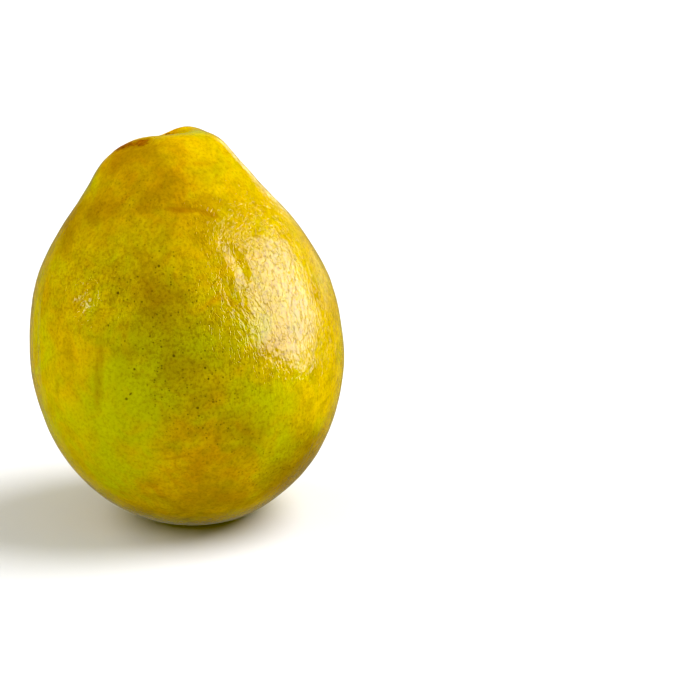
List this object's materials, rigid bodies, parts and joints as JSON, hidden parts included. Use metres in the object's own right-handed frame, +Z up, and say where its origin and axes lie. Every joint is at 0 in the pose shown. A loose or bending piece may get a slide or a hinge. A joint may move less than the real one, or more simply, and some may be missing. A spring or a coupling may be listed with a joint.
{
  "type": "guava",
  "caption": "Ripe pear-shaped guava, standing on its puckered blossom end with the dried calyx tucked in, and a sunken stem scar on its leaning neck.",
  "frame": {"origin": "on the surface that the fruit stands on, at the middle of its outline seen from above", "axes": "+Z up from the blossom end to the stem end; the front of the fruit faces -Y and its neck leans towards -X"},
  "size_m": [0.0786, 0.0778, 0.0983],
  "materials": {
    "waxy_skin": "waxy guava skin, ripe yellow with green cheeks, fine dark pores and russet marks",
    "dry_calyx": "dried, papery brown sepals on a dark corky disc"
  },
  "bodies": {
    "root": {"fruit": "waxy_skin", "calyx": "dry_calyx"}
  },
  "joints": []
}
